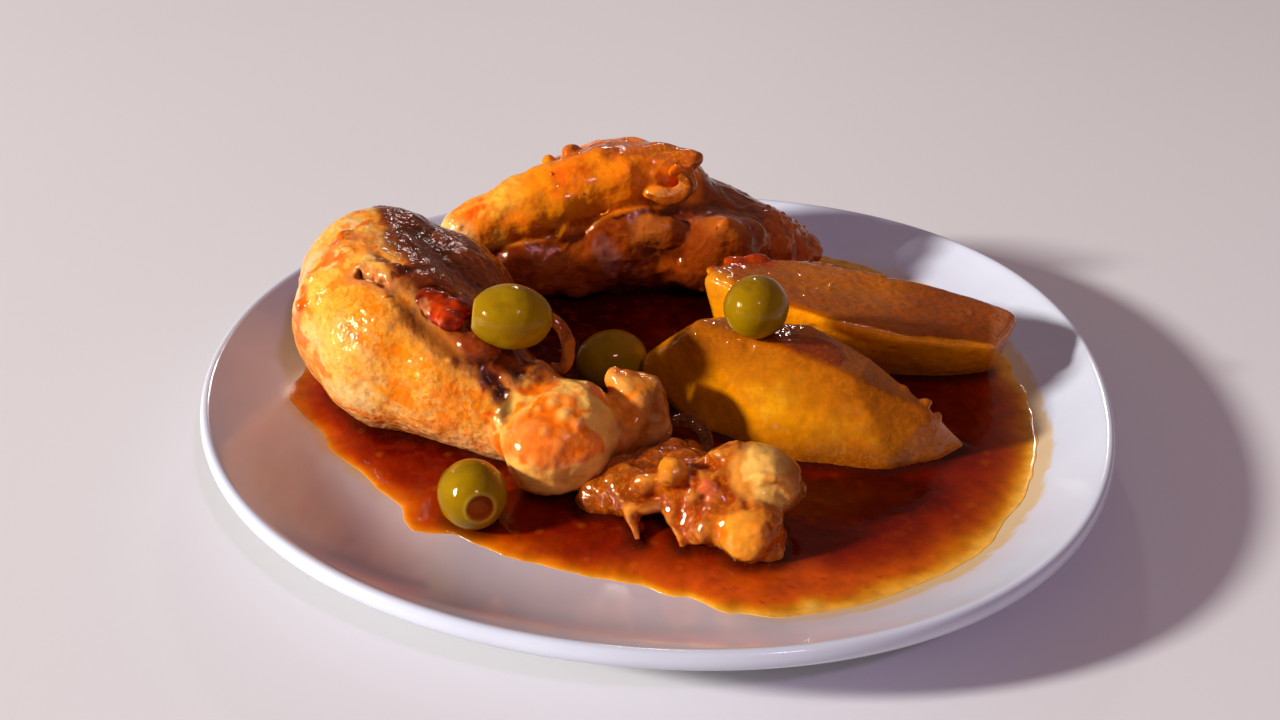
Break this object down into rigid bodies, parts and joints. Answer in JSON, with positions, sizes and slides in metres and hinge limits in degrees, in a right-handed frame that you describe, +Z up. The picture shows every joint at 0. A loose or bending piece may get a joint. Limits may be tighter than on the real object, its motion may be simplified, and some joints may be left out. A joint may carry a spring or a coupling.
{
  "type": "chicken fricassee",
  "caption": "Plated chicken fricassee: a drumstick and a thigh in tomato sauce with potato wedges, pitted green olives and onion, on a round coupe plate.",
  "frame": {"origin": "on the table, under the middle of the plate's outline", "axes": "+Z up, -Y towards the diner, +X to the diner's right"},
  "size_m": [0.2618, 0.2616, 0.0625],
  "materials": {
    "plate_glaze": "glossy",
    "tomato_sauce": "wet and oily",
    "chicken": "moist, part coated with sauce",
    "potato": "moist and grainy",
    "olive": "glossy",
    "tomato": "glossy",
    "onion": "glossy and translucent"
  },
  "bodies": {
    "root": {"plate": "plate_glaze", "sauce": "tomato_sauce", "drumstick": "chicken", "knuckle": "chicken", "thigh": "chicken", "potato_front": "potato", "potato_back": "potato", "olive_on_drumstick": "olive", "olive_on_potato": "olive", "olive_in_front": "olive", "olive_in_gap": "olive", "tomato_piece": "tomato", "onion_on_hock": "onion", "onion_in_gap": "onion", "onion_on_thigh": "onion"}
  },
  "joints": []
}
